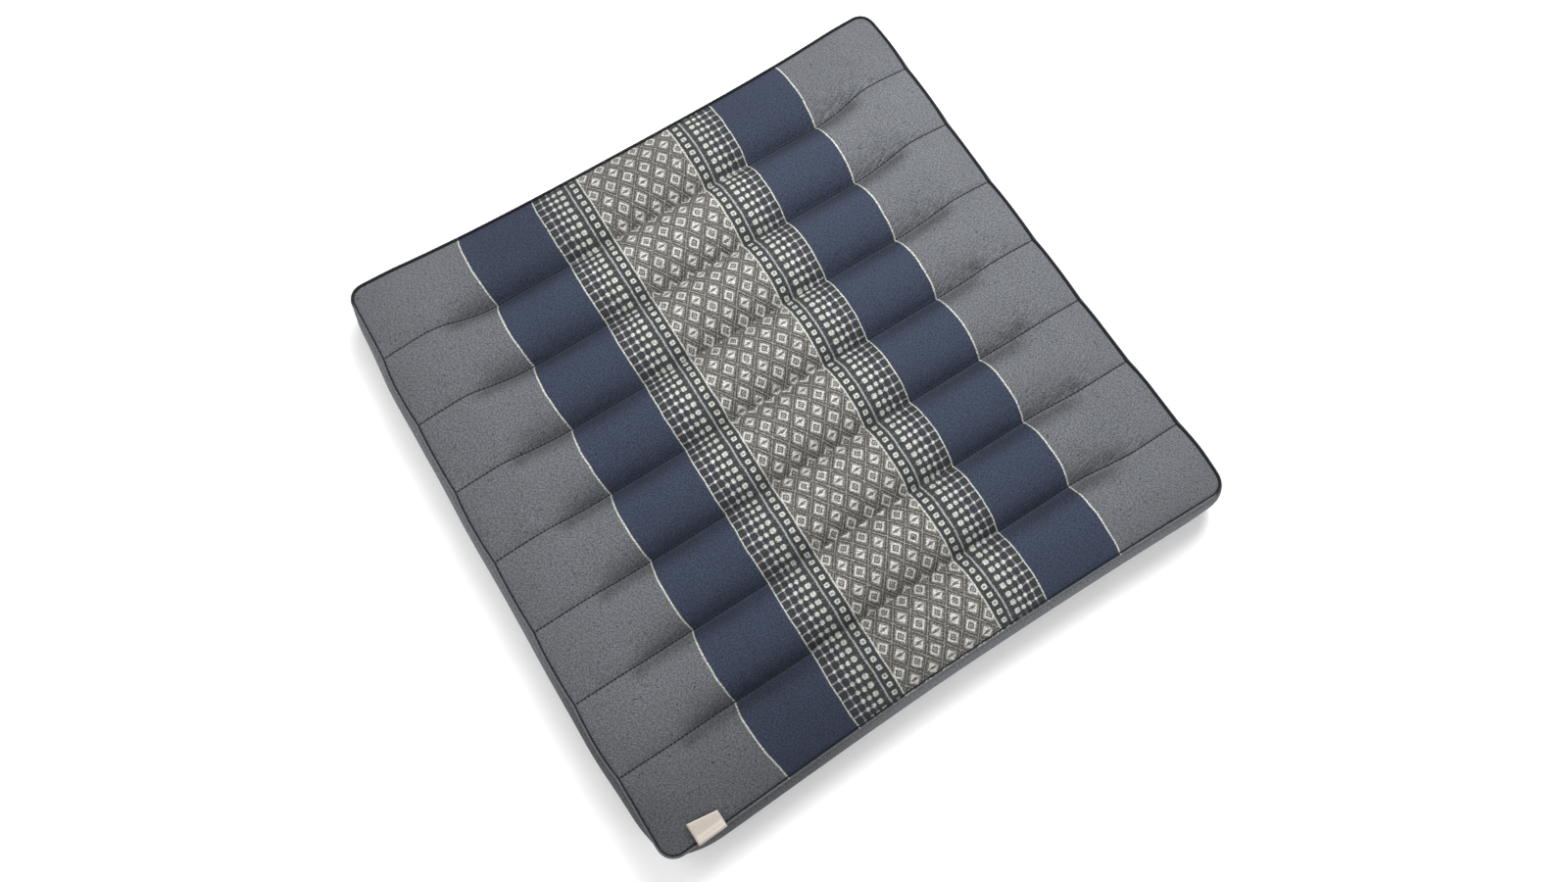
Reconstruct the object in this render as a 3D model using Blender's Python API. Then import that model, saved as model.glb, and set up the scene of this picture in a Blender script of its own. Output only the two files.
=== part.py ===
# Meditation cushion: a square floor mat, boxed at its sides and quilted into eight channels.
# Metres, +Z up. +X runs along the channels, +Y across them towards the far edge, and the
# origin is the middle of the cushion's footprint on the floor.

import math

import bmesh
import bpy

# Driving dimensions.
CHANNELS = 8
PITCH = 0.059            # from one quilting seam to the next
THICKNESS = 0.050        # floor to the highest ridge
TOP_SEAM_Z = 0.0385      # height of the top edge seam
BOTTOM_SEAM_Z = 0.0060   # height of the bottom edge seam
CROWN = 0.002            # how much the middle of the mat is fuller than its rim
GROOVE_TAUT = 0.0025     # how far a quilting seam pulls the side edges in
CORNER_RADIUS = 0.012
CORNER_DROP = 0.003      # the thinly filled corners sink by this much
CORNER_REACH = 0.045     # size of the thinly filled corner

# Half width of the mat along X at each channel, front channel first.
CHANNEL_REACH = (
    # left, right
    (0.2446, 0.2490),
    (0.2476, 0.2464),
    (0.2476, 0.2439),
    (0.2471, 0.2431),
    (0.2476, 0.2423),
    (0.2466, 0.2414),
    (0.2466, 0.2422),
    (0.2432, 0.2426),
)
END_REACH = 0.2388       # half width along Y in the middle of the front and far edges
CORNERS = {
    # side along Y, side along X: how much further the edge stands out at the corner,
    # how suddenly, and the share of the boxing's swell that is lost there
    (-1, -1): (0.0072, 1.5, 1.2),
    (-1, 1): (0.0045, 2.2, 0.2),
    (1, -1): (0.0098, 3.0, 0.6),
    (1, 1): (0.0092, 3.0, 0.7),
}
SEAM_DRIFT = {
    # side along X: how far the first and the last quilting seam drift along +Y beside the stripes
    -1: (-0.0010, 0.0050),
    1: (-0.0050, 0.0050),
}
DRIFT_LENGTH = 0.055     # length over which they drift

# Shape of the channels.
WAVE_POWER = 0.8         # fullness of a channel's arch
SIDE_FALL = 0.050        # length over which a channel falls to the side edge
SIDE_POWER = 2.2
SHALLOW_FROM = 0.150     # the quilting seams grow shallower from here to the sides
SHALLOW_TO = 0.210
SHALLOW_SHARE = 0.55
BOTTOM_RELIEF = 0.009    # the channels' relief underneath, before the floor flattens it

# The edge seams' upstanding hem and the boxing strip between them.
HEM_WIDTH = 0.0026
HEM_RISE = 0.0011
BOX_START = 0.75         # the boxing starts at this share of the hem's width
HEM_PROFILE = (
    # share of the hem's width, share of its rise
    (0.65, 1.0),
    (1.0, 0.1),
    (BOX_START, -1.0),
)
BOX_BULGE_ENDS = 0.0074  # how far the boxing swells at the front and far edges
BOX_BULGE_SIDES = 0.0066 # how far it swells at the channels' ends
BOX_PINCH_REACH = 0.020  # distance from a corner over which the swell is lost
BOX_LEVELS = (0.88, 0.69, 0.5, 0.31, 0.12)

# How finely the panels are divided.
COLUMNS = 20
ROWS_PER_CHANNEL = 8
COLUMN_CROWDING = 0.75   # columns stand closer towards the sides
ROW_CROWDING = 0.5       # rows stand closer beside the seams

# The label in the front edge seam.
LABEL_WIDTH = 0.0232
LABEL_LENGTH = 0.0151
LABEL_SLANT = 0.0042     # how much longer it lies on its left side than on its right
LABEL_THICKNESS = 0.0010
LABEL_GAP = 0.0008
LABEL_X = -0.2065        # middle of the label
LABEL_OVERHANG = 0.0006  # how far it starts outside the hem
LABEL_HEM_FLAT = 0.003   # it lies over the hem for this length
LABEL_HEM_FALL = 0.004   # and comes down to the panel over this one
LABEL_COLUMNS = 6
LABEL_ROWS = 8

# Middle of the uneven footprint, from the middle of the stripes and of the middle seam.
MIDDLE_X = 0.0007
MIDDLE_Y = 0.0005

# Worked out from the sizes above.
HALF_SIDE = 0.243        # about half the mat's side, at its corners
LAST_SEAM = (CHANNELS / 2 - 1) * PITCH

GREY_CLOTH = (0.205, 0.215, 0.235, 1.0)
LABEL_CLOTH = (0.73, 0.69, 0.65, 1.0)


def smooth_step(value):
    value = min(max(value, 0.0), 1.0)
    return value * value * (3.0 - 2.0 * value)


def sign_of(value):
    return -1 if value < 0.0 else 1


def end_reach(x, y):
    """Half width of the mat along Y at x, on y's side."""
    flare, power, _ = CORNERS[sign_of(y), sign_of(x)]
    return END_REACH + flare * min(abs(x) / HALF_SIDE, 1.0) ** power


def channel_phase(x, y):
    """Place across the channel, -1 and +1 at its two seams."""
    if abs(y) > LAST_SEAM:
        width = end_reach(x, y) - LAST_SEAM
        return min(2.0 * (abs(y) - LAST_SEAM) / width - 1.0, 1.0)
    place = y / PITCH
    return 2.0 * (place - math.floor(place)) - 1.0


def channel_arch(x, y):
    """Height of the arch across the channels, 0 on a seam and 1 on a ridge."""
    return max(1.0 - channel_phase(x, y) ** 2, 0.0) ** WAVE_POWER


def seam_drift(x, y):
    """How far the cloth beside the stripes is drawn along +Y, seams and all."""
    first, last = SEAM_DRIFT[sign_of(x)]
    beside = smooth_step((abs(x) - SHALLOW_FROM) / DRIFT_LENGTH)
    inward = 1.0 - smooth_step((abs(y) - LAST_SEAM) / (HALF_SIDE - LAST_SEAM))
    furthest = first if y < 0.0 else last
    return furthest * beside * inward * min(abs(y) / LAST_SEAM, 1.0)


def side_pull(y):
    """How far the quilting seams pull the top and bottom side edges in at y."""
    if abs(y) > LAST_SEAM + PITCH / 2:
        return 0.0
    return GROOVE_TAUT * (1.0 - channel_arch(HALF_SIDE, y))


def side_reach(y, sign):
    """Half width of the mat at y on the left (-1) or right (+1) side."""
    column = 0 if sign_of(sign) < 0 else 1
    # The outline runs smoothly from the middle of one channel to the middle of the next.
    place = min(max(y / PITCH + CHANNELS / 2 - 0.5, 0.0), CHANNELS - 1.001)
    near = int(place)
    blend = smooth_step(place - near)
    reach = CHANNEL_REACH[near][column] * (1.0 - blend) + CHANNEL_REACH[near + 1][column] * blend
    return reach - side_pull(y)


def relief(x, y):
    """Share of the full relief at a place on a panel, from the edge seam's level up."""
    reach = side_reach(y, x)
    edge = min(max(reach - abs(x), 0.0) / SIDE_FALL, 1.0)
    fall = 1.0 - (1.0 - edge) ** SIDE_POWER
    shallow = SHALLOW_SHARE * smooth_step((abs(x) - SHALLOW_FROM) / (SHALLOW_TO - SHALLOW_FROM))
    if abs(y) > LAST_SEAM + PITCH / 2:
        shallow = 0.0
    return fall * (shallow + (1.0 - shallow) * channel_arch(x, y))


def corner_share(x, y):
    """1 at a corner of the mat, 0 away from it."""
    away = math.hypot(HALF_SIDE - abs(x), HALF_SIDE - abs(y))
    return 1.0 - smooth_step(away / CORNER_REACH)


def top_height(x, y):
    crown = CROWN * max(1.0 - (x / HALF_SIDE) ** 2, 0.0) * max(1.0 - (y / HALF_SIDE) ** 2, 0.0)
    full = THICKNESS - CROWN - TOP_SEAM_Z
    return TOP_SEAM_Z + crown + full * relief(x, y) - CORNER_DROP * corner_share(x, y)


def bottom_height(x, y):
    raised = BOTTOM_SEAM_Z + CORNER_DROP * 0.7 * corner_share(x, y)
    return max(raised - BOTTOM_RELIEF * relief(x, y), 0.0)


def round_corner(x, y, reach_x, reach_y):
    """Move a point of the square panel onto the round-cornered one; also gives the way out there."""
    p = (abs(x) - (reach_x - CORNER_RADIUS)) / CORNER_RADIUS
    q = (abs(y) - (reach_y - CORNER_RADIUS)) / CORNER_RADIUS
    sign_x = sign_of(x)
    sign_y = sign_of(y)
    if p <= 0.0 or q <= 0.0:
        if p > 0.999:
            return x, y, sign_x, 0.0
        return x, y, 0.0, sign_y
    p_round = p * math.sqrt(1.0 - q * q / 2.0)
    q_round = q * math.sqrt(1.0 - p * p / 2.0)
    new_x = sign_x * (reach_x - CORNER_RADIUS * (1.0 - p_round))
    new_y = sign_y * (reach_y - CORNER_RADIUS * (1.0 - q_round))
    return new_x, new_y, sign_x * p_round, sign_y * q_round


def panel_point(u, v, inset):
    """Place of the panel's point (u, v), both from -1 to 1, and the outward way in plan."""
    half = CHANNELS // 2
    x_share = u * (1.0 - COLUMN_CROWDING) + COLUMN_CROWDING * math.sin(u * math.pi / 2)
    place = min(abs(v) * half, half)
    channel = min(int(place), half - 1)
    step = place - channel
    step = step * (1.0 - ROW_CROWDING) + ROW_CROWDING * (1.0 - math.cos(step * math.pi)) / 2
    reach_y = end_reach(x_share * HALF_SIDE, v) - inset
    if channel == half - 1:
        y = LAST_SEAM + step * (reach_y - LAST_SEAM)
    else:
        y = (channel + step) * PITCH
    y = math.copysign(y, v)
    reach_x = side_reach(y, u) - inset
    x = x_share * reach_x
    return round_corner(x, y, reach_x, reach_y)


def box_bulge(x, y, out_x, out_y):
    """How far the boxing strip swells at its middle height."""
    bulge = (BOX_BULGE_SIDES + side_pull(y)) * out_x * out_x + BOX_BULGE_ENDS * out_y * out_y
    away = math.hypot(HALF_SIDE - abs(x), HALF_SIDE - abs(y))
    _, _, pinch = CORNERS[sign_of(y), sign_of(x)]
    return bulge * (1.0 - pinch * math.exp(-(away / BOX_PINCH_REACH) ** 2))


def side_rings():
    """Rings from the top panel's edge down to the bottom panel's: level, share of the hem's width, rise."""
    rings = [(1.0, out, rise * HEM_RISE) for out, rise in HEM_PROFILE]
    rings += [(level, BOX_START, 0.0) for level in BOX_LEVELS]
    rings += [(0.0, out, -rise * HEM_RISE) for out, rise in reversed(HEM_PROFILE)]
    return rings


def cushion_point(u, v, number, rings):
    """Place of a point of the top panel (ring 0), of a side ring or of the bottom panel (last)."""
    x, y, out_x, out_y = panel_point(u, v, HEM_WIDTH)
    high = top_height(x, y)
    low = bottom_height(x, y)
    level, out, rise = 1.0, 0.0, 0.0
    if number > len(rings):
        level = 0.0
    elif number > 0:
        level, out, rise = rings[number - 1]
    reach = HEM_WIDTH * out
    if 0.0 < level < 1.0:
        reach += box_bulge(x, y, out_x, out_y) * math.sin(level * math.pi) ** WAVE_POWER
    return (
        x + out_x * reach - MIDDLE_X,
        y + out_y * reach + seam_drift(x, y) - MIDDLE_Y,
        low + (high - low) * level + rise,
    )


def verts_of(result):
    return [item for item in result["geom"] if isinstance(item, bmesh.types.BMVert)]


def cushion_mesh():
    bm = bmesh.new()
    place = bm.verts.layers.float_vector.new("place")
    ring = bm.verts.layers.int.new("ring")
    rings = side_rings()
    last = len(rings) + 1

    # Two flat panels, the lower one facing down.
    bmesh.ops.create_grid(bm, x_segments=COLUMNS, y_segments=CHANNELS * ROWS_PER_CHANNEL, size=1.0)
    rim = [edge for edge in bm.edges if edge.is_boundary]
    for vert in bm.verts:
        vert[place] = vert.co
    lower = bmesh.ops.duplicate(bm, geom=bm.verts[:] + bm.edges[:] + bm.faces[:])
    lower_verts = verts_of(lower)
    lower_faces = [item for item in lower["geom"] if isinstance(item, bmesh.types.BMFace)]
    bmesh.ops.reverse_faces(bm, faces=lower_faces)
    for vert in lower_verts:
        vert[ring] = last
    lower_rim = [edge for edge in bm.edges if edge.is_boundary and edge.verts[0][ring] == last]

    # The hems and the boxing strip, ring by ring, then the joint with the lower panel.
    for number in range(1, last):
        wall = bmesh.ops.extrude_edge_only(bm, edges=rim)
        rim = [item for item in wall["geom"] if isinstance(item, bmesh.types.BMEdge)]
        for vert in verts_of(wall):
            vert[ring] = number
    for vert in bm.verts:
        vert.co.z = -float(vert[ring])
    bmesh.ops.bridge_loops(bm, edges=rim + lower_rim)

    # Every point goes to its place on the filled cushion.
    for vert in bm.verts:
        vert.co = cushion_point(vert[place].x, vert[place].y, vert[ring], rings)
    bmesh.ops.recalc_face_normals(bm, faces=bm.faces[:])
    mesh = bpy.data.meshes.new("cushion")
    bm.to_mesh(mesh)
    bm.free()
    return mesh


def label_mesh():
    """A thin folded tab that comes over the front hem and lies on the panel."""
    bm = bmesh.new()
    bmesh.ops.create_cube(bm, size=1.0)
    for axis, pieces in ((0, LABEL_COLUMNS), (1, LABEL_ROWS)):
        along = [edge for edge in bm.edges
                 if abs(edge.verts[0].co[axis] - edge.verts[1].co[axis]) > 0.9]
        bmesh.ops.subdivide_edges(bm, edges=along, cuts=pieces - 1, use_grid_fill=True)
    for vert in bm.verts:
        x = LABEL_X + vert.co.x * LABEL_WIDTH
        from_front = (vert.co.y + 0.5) * (LABEL_LENGTH - vert.co.x * LABEL_SLANT)
        y = from_front - end_reach(x, -1) - LABEL_OVERHANG
        panel_y = max(y, HEM_WIDTH - end_reach(x, -1))
        over_hem = 1.0 - smooth_step((from_front - LABEL_HEM_FLAT) / LABEL_HEM_FALL)
        lift = LABEL_GAP + HEM_RISE * over_hem + (vert.co.z + 0.5) * LABEL_THICKNESS
        vert.co = (x - MIDDLE_X, y - MIDDLE_Y, top_height(x, panel_y) + lift)
    bmesh.ops.recalc_face_normals(bm, faces=bm.faces[:])
    mesh = bpy.data.meshes.new("label")
    bm.to_mesh(mesh)
    bm.free()
    return mesh


def cloth_material(name, colour):
    material = bpy.data.materials.new(name)
    material.use_nodes = True
    shader = material.node_tree.nodes["Principled BSDF"]
    shader.inputs["Base Color"].default_value = colour
    shader.inputs["Roughness"].default_value = 0.9
    shader.inputs["Metallic"].default_value = 0.0
    return material


def add_piece(name, mesh, material, collection):
    mesh.materials.append(material)
    mesh.shade_smooth()
    mesh.set_sharp_from_angle(angle=math.radians(50))
    piece = bpy.data.objects.new(name, mesh)
    collection.objects.link(piece)
    return piece


def main():
    for old in list(bpy.data.objects):
        bpy.data.objects.remove(old, do_unlink=True)
    collection = bpy.data.collections.new("meditation_cushion")
    bpy.context.scene.collection.children.link(collection)
    add_piece("cushion", cushion_mesh(), cloth_material("grey_cloth", GREY_CLOTH), collection)
    add_piece("label", label_mesh(), cloth_material("label_cloth", LABEL_CLOTH), collection)


main()
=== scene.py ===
import math

import bmesh
import bpy
import numpy as np
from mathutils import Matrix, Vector
from mathutils.bvhtree import BVHTree


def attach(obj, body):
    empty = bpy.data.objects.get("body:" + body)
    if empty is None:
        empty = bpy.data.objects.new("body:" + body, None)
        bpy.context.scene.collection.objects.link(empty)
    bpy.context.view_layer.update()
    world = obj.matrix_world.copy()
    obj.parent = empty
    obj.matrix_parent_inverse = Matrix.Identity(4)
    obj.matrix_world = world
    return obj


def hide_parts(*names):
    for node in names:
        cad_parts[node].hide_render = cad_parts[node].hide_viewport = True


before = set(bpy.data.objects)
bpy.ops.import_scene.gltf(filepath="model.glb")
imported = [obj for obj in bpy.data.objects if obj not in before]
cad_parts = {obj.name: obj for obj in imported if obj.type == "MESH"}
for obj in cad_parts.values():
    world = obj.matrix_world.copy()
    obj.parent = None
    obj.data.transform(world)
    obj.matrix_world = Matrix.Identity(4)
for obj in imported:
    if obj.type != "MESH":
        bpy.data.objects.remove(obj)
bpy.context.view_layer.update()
scene = bpy.context.scene
mm = 0.001
print("frame loaded")


def addObject(name, data):
    made = bpy.data.objects.new(name, data)
    scene.collection.objects.link(made)
    return made


def meshFrom(bm, name):
    mesh = bpy.data.meshes.new(name)
    bm.to_mesh(mesh)
    bm.free()
    return mesh


# Quilted floor cushion: woven striped top, grey boxing and bottom, overcast edge seams.
# +X runs along the channels, +Y towards the far edge, metres.


# Camera and light

view = {
    "place": (-0.1252, -0.1811, 0.7721),
    "turn": (13.87, -1.04, -32.25),       # degrees
    "lens": 22.99,
}

light = {
    "skyStrength": 0.342,
    "lamps": {   # place, aim, size, watts
        "key": ((0.60, 0.36, 0.80), (0.10, 0.10, 0.0), 0.5, 10.9),
        "far": ((0.50, 0.60, 1.00), (0.10, 0.10, 0.0), 0.6, 11.5),
        "back": ((-0.50, 0.50, 0.90), (0.0, 0.0, 0.0), 0.6, 2.9),
        "left": ((-0.80, -0.10, 1.00), (0.0, 0.0, 0.0), 0.8, 3.3),
        "near": ((0.05, -0.90, 1.00), (0.0, 0.0, 0.0), 0.8, 5.6),
    },
    "floorSize": 6.0,
    "floorColour": (0.93, 0.93, 0.93, 1.0),
}


def makeCamera():
    data = bpy.data.cameras.new("camera")
    data.sensor_width = 36.0
    data.lens = view["lens"]
    camera = addObject("camera", data)
    camera.location = view["place"]
    camera.rotation_euler = [math.radians(angle) for angle in view["turn"]]
    scene.camera = camera


def makeLight():
    world = bpy.data.worlds.new("studio")
    world.use_nodes = True
    sky = world.node_tree.nodes["Background"]
    sky.inputs["Color"].default_value = (1.0, 1.0, 1.0, 1.0)
    sky.inputs["Strength"].default_value = light["skyStrength"]
    scene.world = world
    scene.view_settings.view_transform = "Standard"

    for name, (place, aim, size, watts) in light["lamps"].items():
        data = bpy.data.lights.new(name, "AREA")
        data.size = size
        data.energy = watts
        lamp = addObject(name, data)
        lamp.location = place
        lamp.rotation_euler = (Vector(place) - Vector(aim)).to_track_quat("Z", "Y").to_euler()


def makeFloor():
    bm = bmesh.new()
    bmesh.ops.create_grid(bm, x_segments=1, y_segments=1, size=light["floorSize"] / 2)
    mesh = meshFrom(bm, "floor")
    material = bpy.data.materials.new("floor")
    material.use_nodes = True
    shader = material.node_tree.nodes["Principled BSDF"]
    shader.inputs["Base Color"].default_value = light["floorColour"]
    shader.inputs["Roughness"].default_value = 0.9
    mesh.materials.append(material)
    floor = addObject("floor", mesh)
    floor.location.z = -0.0002


makeCamera()
makeLight()
makeFloor()
print("camera, light and floor made")


# Node helpers

class Wire:
    # a node's output, which sums can be written with
    def __init__(self, socket):
        self.socket = socket
        self.tree = socket.id_data

    def __add__(self, other):
        return calc("ADD", self, other)

    def __sub__(self, other):
        return calc("SUBTRACT", self, other)

    def __rsub__(self, other):
        return calc("SUBTRACT", other, self)

    def __mul__(self, other):
        return calc("MULTIPLY", self, other)

    def __truediv__(self, other):
        return calc("DIVIDE", self, other)

    def __pow__(self, other):
        return calc("POWER", self, other)

    def __abs__(self):
        return calc("ABSOLUTE", self)


def treeOf(*values):
    return next(value.tree for value in values if isinstance(value, Wire))


def addNode(tree, kind, inputs=None, output=0, **settings):
    node = tree.nodes.new("ShaderNode" + kind)
    for name, value in settings.items():
        setattr(node, name, value)
    column = 0
    for key, value in (inputs or {}).items():
        if isinstance(value, Wire):
            tree.links.new(value.socket, node.inputs[key])
            column = max(column, value.socket.node.location.x / 200 + 1)
        else:
            node.inputs[key].default_value = value
    row = sum(1 for other in tree.nodes if other != node and abs(other.location.x - column * 200) < 1)
    node.location = (column * 200, -row * 180)
    return Wire(node.outputs[output])


def calc(operation, *values):
    return addNode(treeOf(*values), "Math", dict(enumerate(values)), operation=operation)


def mixColour(share, first, second, blend="MIX"):
    inputs = {0: share, 6: first, 7: second}
    return addNode(treeOf(share, first, second), "Mix", inputs, 2, data_type="RGBA", blend_type=blend)


def below(value, limit, soft):
    # 1 where value is under limit, 0 over it
    inputs = {"Value": value, "From Min": limit + soft, "From Max": limit - soft}
    return addNode(value.tree, "MapRange", inputs, interpolation_type="SMOOTHSTEP")


def spread(value, low, high, first=0.0, last=1.0):
    # low to high stretched to first to last
    inputs = {"Value": value, "From Min": low, "From Max": high, "To Min": first, "To Max": last}
    return addNode(value.tree, "MapRange", inputs)


def turned(vector, scale, angle):
    inputs = {"Vector": vector, "Scale": scale, "Rotation": (0.0, 0.0, angle)}
    return addNode(vector.tree, "Mapping", inputs)


def noiseOf(vector, scale, detail=2.0, rough=0.5, output="Fac"):
    inputs = {"Vector": vector, "Scale": scale, "Detail": detail, "Roughness": rough}
    return addNode(vector.tree, "TexNoise", inputs, output)


def parted(value, kind="XYZ"):
    node = addNode(value.tree, "Separate" + kind, {0: value}).socket.node
    return [Wire(socket) for socket in node.outputs]


def greyOf(value):
    return addNode(value.tree, "CombineColor", {0: value, 1: value, 2: value})


def pointValue(tree, name):
    return addNode(tree, "Attribute", None, "Fac", attribute_name=name)


def onPiece(tree):
    return addNode(tree, "TexCoord", None, "Object")


def clothInMm(tree, mapName):
    inputs = {"Vector": addNode(tree, "UVMap", uv_map=mapName), "Scale": (1000.0, 1000.0, 1.0)}
    return addNode(tree, "Mapping", inputs)


def openGroup(name, inputs):
    tree = bpy.data.node_groups.new(name, "ShaderNodeTree")
    for label, kind in inputs.items():
        tree.interface.new_socket(label, in_out="INPUT", socket_type="NodeSocket" + kind)
    entry = tree.nodes.new("NodeGroupInput")
    return tree, {socket.name: Wire(socket) for socket in entry.outputs if socket.name}


def closeGroup(tree, outputs):
    for label, wire in outputs.items():
        kind = "Color" if wire.socket.type == "RGBA" else "Float"
        tree.interface.new_socket(label, in_out="OUTPUT", socket_type="NodeSocket" + kind)
    leave = tree.nodes.new("NodeGroupOutput")
    for label, wire in outputs.items():
        tree.links.new(wire.socket, leave.inputs[label])
        leave.location.x = max(leave.location.x, wire.socket.node.location.x + 200)
    return tree


def useGroup(tree, group, inputs):
    node = addNode(tree, "Group", inputs, node_tree=group).socket.node
    return {socket.name: Wire(socket) for socket in node.outputs}


def newMaterial(name, rough):
    material = bpy.data.materials.new(name)
    material.use_nodes = True
    tree = material.node_tree
    shader = tree.nodes["Principled BSDF"]
    shader.inputs["Roughness"].default_value = rough
    shader.inputs["Specular IOR Level"].default_value = 0.25
    shader.location = (2600, 0)
    tree.nodes["Material Output"].location = (2900, 0)
    return material, tree, shader


def finishShader(shader, colour, height, strength, depth):
    tree = colour.tree
    tree.links.new(colour.socket, shader.inputs["Base Color"])
    bump = addNode(tree, "Bump", {"Height": height, "Strength": strength, "Distance": depth})
    tree.links.new(bump.socket, shader.inputs["Normal"])


def colourOf(hexText):
    # sRGB hex to the linear colour that Blender works in
    parts = [int(hexText[i:i + 2], 16) / 255 for i in (1, 3, 5)]
    return tuple(p / 12.92 if p <= 0.04045 else ((p + 0.055) / 1.055) ** 2.4 for p in parts) + (1.0,)


# The cushion's form, as the solids have it

form = {
    "channels": 8,
    "pitch": 0.059,
    "thickness": 0.050,
    "topSeam": 0.0385,
    "bottomSeam": 0.0060,
    "crown": 0.002,
    "grooveTaut": 0.0011,
    "cornerRadius": 0.012,
    "cornerDrop": 0.003,
    "cornerReach": 0.045,
    "halfSide": 0.243,
    "leftReach": (0.2446, 0.2476, 0.2476, 0.2471, 0.2476, 0.2466, 0.2466, 0.2432),    # front first
    "rightReach": (0.2490, 0.2464, 0.2439, 0.2431, 0.2423, 0.2414, 0.2422, 0.2426),
    "endReach": 0.2388,
    # at each corner: how much further the edge stands out, how suddenly, share of swell lost
    "corners": {
        (-1, -1): (0.0072, 1.5, 1.2),   # near left
        (-1, 1): (0.0045, 2.2, 0.2),    # near right
        (1, -1): (0.0098, 3.0, 0.6),    # far left
        (1, 1): (0.0092, 3.0, 0.7),     # far right
    },
    "drift": ((-0.0010, -0.0050), (0.0050, 0.0050)),   # of the first seam and the last, left and right
    "driftLength": 0.055,
    "archPower": 0.8,
    "sideFall": 0.050,
    "sidePower": 2.2,
    "shallowFrom": 0.150,
    "shallowTo": 0.210,
    "shallowShare": 0.55,
    "bottomRelief": 0.009,
    "hemWidth": 0.0026,
    "boxStart": 0.75,
    "bulgeEnds": 0.0074,
    "bulgeSides": 0.0066,
    "pinchReach": 0.020,
    "middle": (0.0007, 0.0005),
}
half = form["channels"] // 2
lastSeam = (half - 1) * form["pitch"]


def smoothStep(value):
    value = np.clip(value, 0.0, 1.0)
    return value * value * (3.0 - 2.0 * value)


def past(value, start, length):
    # 0 up to start, 1 from length further on
    return smoothStep((value - start) / length)


def signOf(value):
    return np.where(value < 0.0, -1, 1)


def cornerValue(x, y, column):
    # picks one column of the corner table for each point
    found = np.zeros(np.broadcast(x, y).shape)
    for (sideY, sideX), row in form["corners"].items():
        found = np.where((signOf(y) == sideY) & (signOf(x) == sideX), row[column], found)
    return found


def nearestSeam(y):
    # which quilting seam lies nearest, and how far beyond it
    seam = np.clip(np.rint(y / form["pitch"]), 1 - half, half - 1)
    return seam, y - seam * form["pitch"]


def endReach(x, y):
    flare = cornerValue(x, y, 0)
    power = cornerValue(x, y, 1)
    return form["endReach"] + flare * np.minimum(np.abs(x) / form["halfSide"], 1.0) ** power


def channelArch(x, y):
    # 0 on a seam, 1 on a ridge
    place = y / form["pitch"]
    phase = 2.0 * (place - np.floor(place)) - 1.0
    width = endReach(x, y) - lastSeam
    endPhase = np.minimum(2.0 * (np.abs(y) - lastSeam) / width - 1.0, 1.0)
    phase = np.where(np.abs(y) > lastSeam, endPhase, phase)
    return np.maximum(1.0 - phase ** 2, 0.0) ** form["archPower"]


def seamDrift(x, y):
    first, last = [np.where(x < 0.0, *pair) for pair in form["drift"]]
    beside = past(np.abs(x), form["shallowFrom"], form["driftLength"])
    inward = 1.0 - past(np.abs(y), lastSeam, form["halfSide"] - lastSeam)
    return np.where(y < 0.0, first, last) * beside * inward * np.minimum(np.abs(y) / lastSeam, 1.0)


def sidePull(y):
    pull = form["grooveTaut"] * (1.0 - channelArch(form["halfSide"], y))
    return np.where(np.abs(y) > lastSeam + form["pitch"] / 2, 0.0, pull)


def sideReach(y, side):
    place = np.clip(y / form["pitch"] + half - 0.5, 0.0, form["channels"] - 1.001)
    near = place.astype(int)
    blend = smoothStep(place - near)
    reach = np.array((form["rightReach"], form["leftReach"]))
    onLeft = np.less(side, 0.0).astype(int)
    here, onward = reach[onLeft, near], reach[onLeft, near + 1]
    return here * (1.0 - blend) + onward * blend - sidePull(y)


def reliefAt(x, y):
    edge = np.clip((sideReach(y, x) - np.abs(x)) / form["sideFall"], 0.0, 1.0)
    fall = 1.0 - (1.0 - edge) ** form["sidePower"]
    shallow = form["shallowTo"] - form["shallowFrom"]
    shallow = form["shallowShare"] * past(np.abs(x), form["shallowFrom"], shallow)
    shallow = np.where(np.abs(y) > lastSeam + form["pitch"] / 2, 0.0, shallow)
    return fall * (shallow + (1.0 - shallow) * channelArch(x, y))


def cornerShare(x, y):
    away = np.hypot(form["halfSide"] - np.abs(x), form["halfSide"] - np.abs(y))
    return 1.0 - smoothStep(away / form["cornerReach"])


def topHeight(x, y):
    crown = np.maximum(1.0 - (x / form["halfSide"]) ** 2, 0.0)
    crown = form["crown"] * crown * np.maximum(1.0 - (y / form["halfSide"]) ** 2, 0.0)
    full = form["thickness"] - form["crown"] - form["topSeam"]
    return form["topSeam"] + crown + full * reliefAt(x, y) - form["cornerDrop"] * cornerShare(x, y)


def bottomHeight(x, y):
    raised = form["bottomSeam"] + form["cornerDrop"] * 0.7 * cornerShare(x, y)
    return np.maximum(raised - form["bottomRelief"] * reliefAt(x, y), 0.0)


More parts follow.
